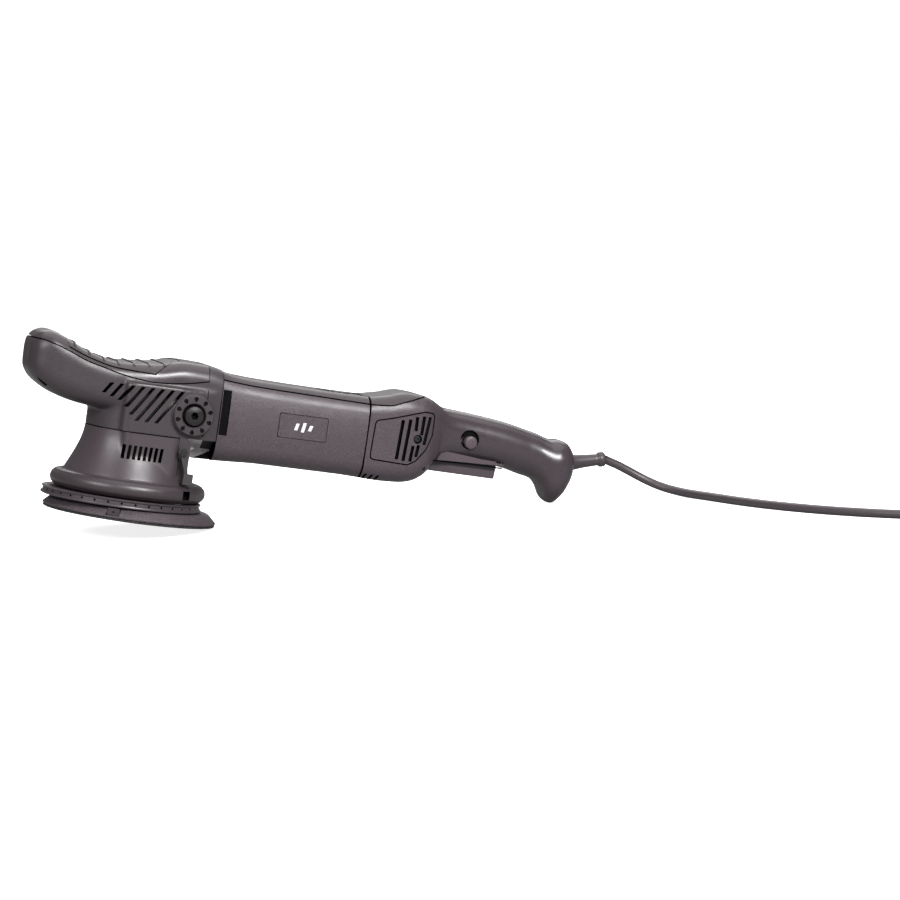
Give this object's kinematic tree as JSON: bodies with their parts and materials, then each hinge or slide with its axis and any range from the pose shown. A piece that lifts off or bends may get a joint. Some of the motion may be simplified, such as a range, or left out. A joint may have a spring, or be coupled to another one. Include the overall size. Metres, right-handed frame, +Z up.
{
  "type": "dual action polisher",
  "caption": "Long-body mains dual action polisher with a palm grip over the head, a free spinning backing plate, a paddle trigger and its cord coiled behind.",
  "frame": {"origin": "middle of the resting tool on the bench, without its cord", "axes": "+X from the palm grip to the handle, +Z up from the bench, -Y the side with the lock button; the tool lies on the rear rim of its plate and on its pommel"},
  "size_m": [0.8011, 0.3703, 0.1526],
  "materials": {
    "shell_plastic": "charcoal moulded nylon, fine spark grain",
    "soft_grip": "charcoal soft overmould, smooth matt",
    "vent_plastic": "black moulded plastic",
    "gloss_panel": "glossy black insert",
    "cast_aluminium": "die cast, bare",
    "weight_steel": "machined dark weight",
    "steel": "ground steel",
    "black_screw": "blackened steel",
    "lamination_steel": "stacked electrical sheet",
    "copper": "enamelled copper",
    "carbon": "pressed carbon",
    "plate_resin": "glass filled resin",
    "plate_foam": "dense polyurethane, matt",
    "hook_fabric": "black hook fabric",
    "cord_rubber": "black-grey rubber sheath",
    "plug_metal": "nickel plated brass"
  },
  "bodies": {
    "housing": {"air_grilles": "vent_plastic", "badge_plate": "shell_plastic", "bearing_plate": "cast_aluminium", "brush_cover_left": "shell_plastic", "brush_cover_right": "shell_plastic", "brush_cover_screws": "black_screw", "brush_holders": "vent_plastic", "brush_springs": "steel", "bumper_ring": "soft_grip", "carbon_brushes": "carbon", "control_panel": "gloss_panel", "cord": "cord_rubber", "cord_coil": "cord_rubber", "detent_disc_left": "shell_plastic", "detent_disc_right": "shell_plastic", "disc_bolts": "black_screw", "gear_housing": "cast_aluminium", "handle_left": "shell_plastic", "handle_right": "shell_plastic", "handle_screws": "black_screw", "head_shell": "shell_plastic", "latch_pin": "steel", "motor_bearing_front": "steel", "motor_bearing_rear": "steel", "motor_housing": "shell_plastic", "palm_cover": "soft_grip", "palm_pad": "soft_grip", "plug_body": "cord_rubber", "plug_pins": "plug_metal", "rear_pad": "soft_grip", "shroud": "shell_plastic", "spindle_bearing_lower": "steel", "spindle_bearing_upper": "steel", "stator_core": "lamination_steel", "stator_windings": "copper", "strain_relief": "cord_rubber", "switch_body": "vent_plastic", "top_trim": "soft_grip", "trigger_bezel": "shell_plastic"},
    "eccentric": {"spindle_shaft": "steel", "driven_gear": "steel", "eccentric_weight": "weight_steel", "balance_ring": "cast_aluminium", "plate_bearings": "steel"},
    "plate": {"plate_core": "plate_resin", "plate_foam": "plate_foam", "hook_layer": "hook_fabric", "plate_spindle": "steel", "plate_screw": "black_screw"},
    "armature": {"armature_shaft": "steel", "armature_core": "lamination_steel", "armature_windings": "copper", "commutator": "copper", "cooling_fan": "vent_plastic", "drive_pinion": "steel"},
    "trigger": {"trigger": "shell_plastic"},
    "lock_button": {"lock_button": "shell_plastic"},
    "speed_dial": {"speed_dial": "vent_plastic"},
    "shroud_latch": {"shroud_latch": "shell_plastic"}
  },
  "joints": [
    {"name": "eccentric_spin", "type": "hinge", "parent": "housing", "child": "eccentric", "pos_m": [-0.13918, 0, 0.06161], "axis": [0.1864, 0, 0.9825], "continuous": true},
    {"name": "plate_spin", "type": "hinge", "parent": "eccentric", "child": "plate", "pos_m": [-0.14084, 0, 0.03139], "axis": [0.1864, 0, 0.9825], "continuous": true},
    {"name": "armature_spin", "type": "hinge", "parent": "housing", "child": "armature", "pos_m": [-0.03534, 0, 0.07245], "axis": [0.9825, 0, -0.1864], "continuous": true},
    {"name": "trigger_squeeze", "type": "hinge", "parent": "housing", "child": "trigger", "pos_m": [0.09117, 0, 0.04183], "axis": [0, -1, 0], "range_deg": [0, 7], "stiffness_Nm_per_rad": 0.8, "springref_deg": -17.19},
    {"name": "lock_button_press", "type": "slide", "parent": "housing", "child": "lock_button", "axis": [0, 1, 0], "range_m": [0, 0.003], "stiffness_N_per_m": 800, "springref_m": -0.004},
    {"name": "speed_dial_turn", "type": "hinge", "parent": "housing", "child": "speed_dial", "pos_m": [0.01587, 0, 0.09021], "axis": [0.1864, 0, 0.9825], "range_deg": [0, 270]},
    {"name": "latch_swing", "type": "hinge", "parent": "housing", "child": "shroud_latch", "pos_m": [-0.10994, -0.041, 0.06014], "axis": [0, -1, 0], "range_deg": [0, 20], "stiffness_Nm_per_rad": 0.05, "springref_deg": -11.46}
  ],
  "couplings": [
    {"joint": "armature_spin", "follows": "eccentric_spin", "ratio": 3}
  ]
}
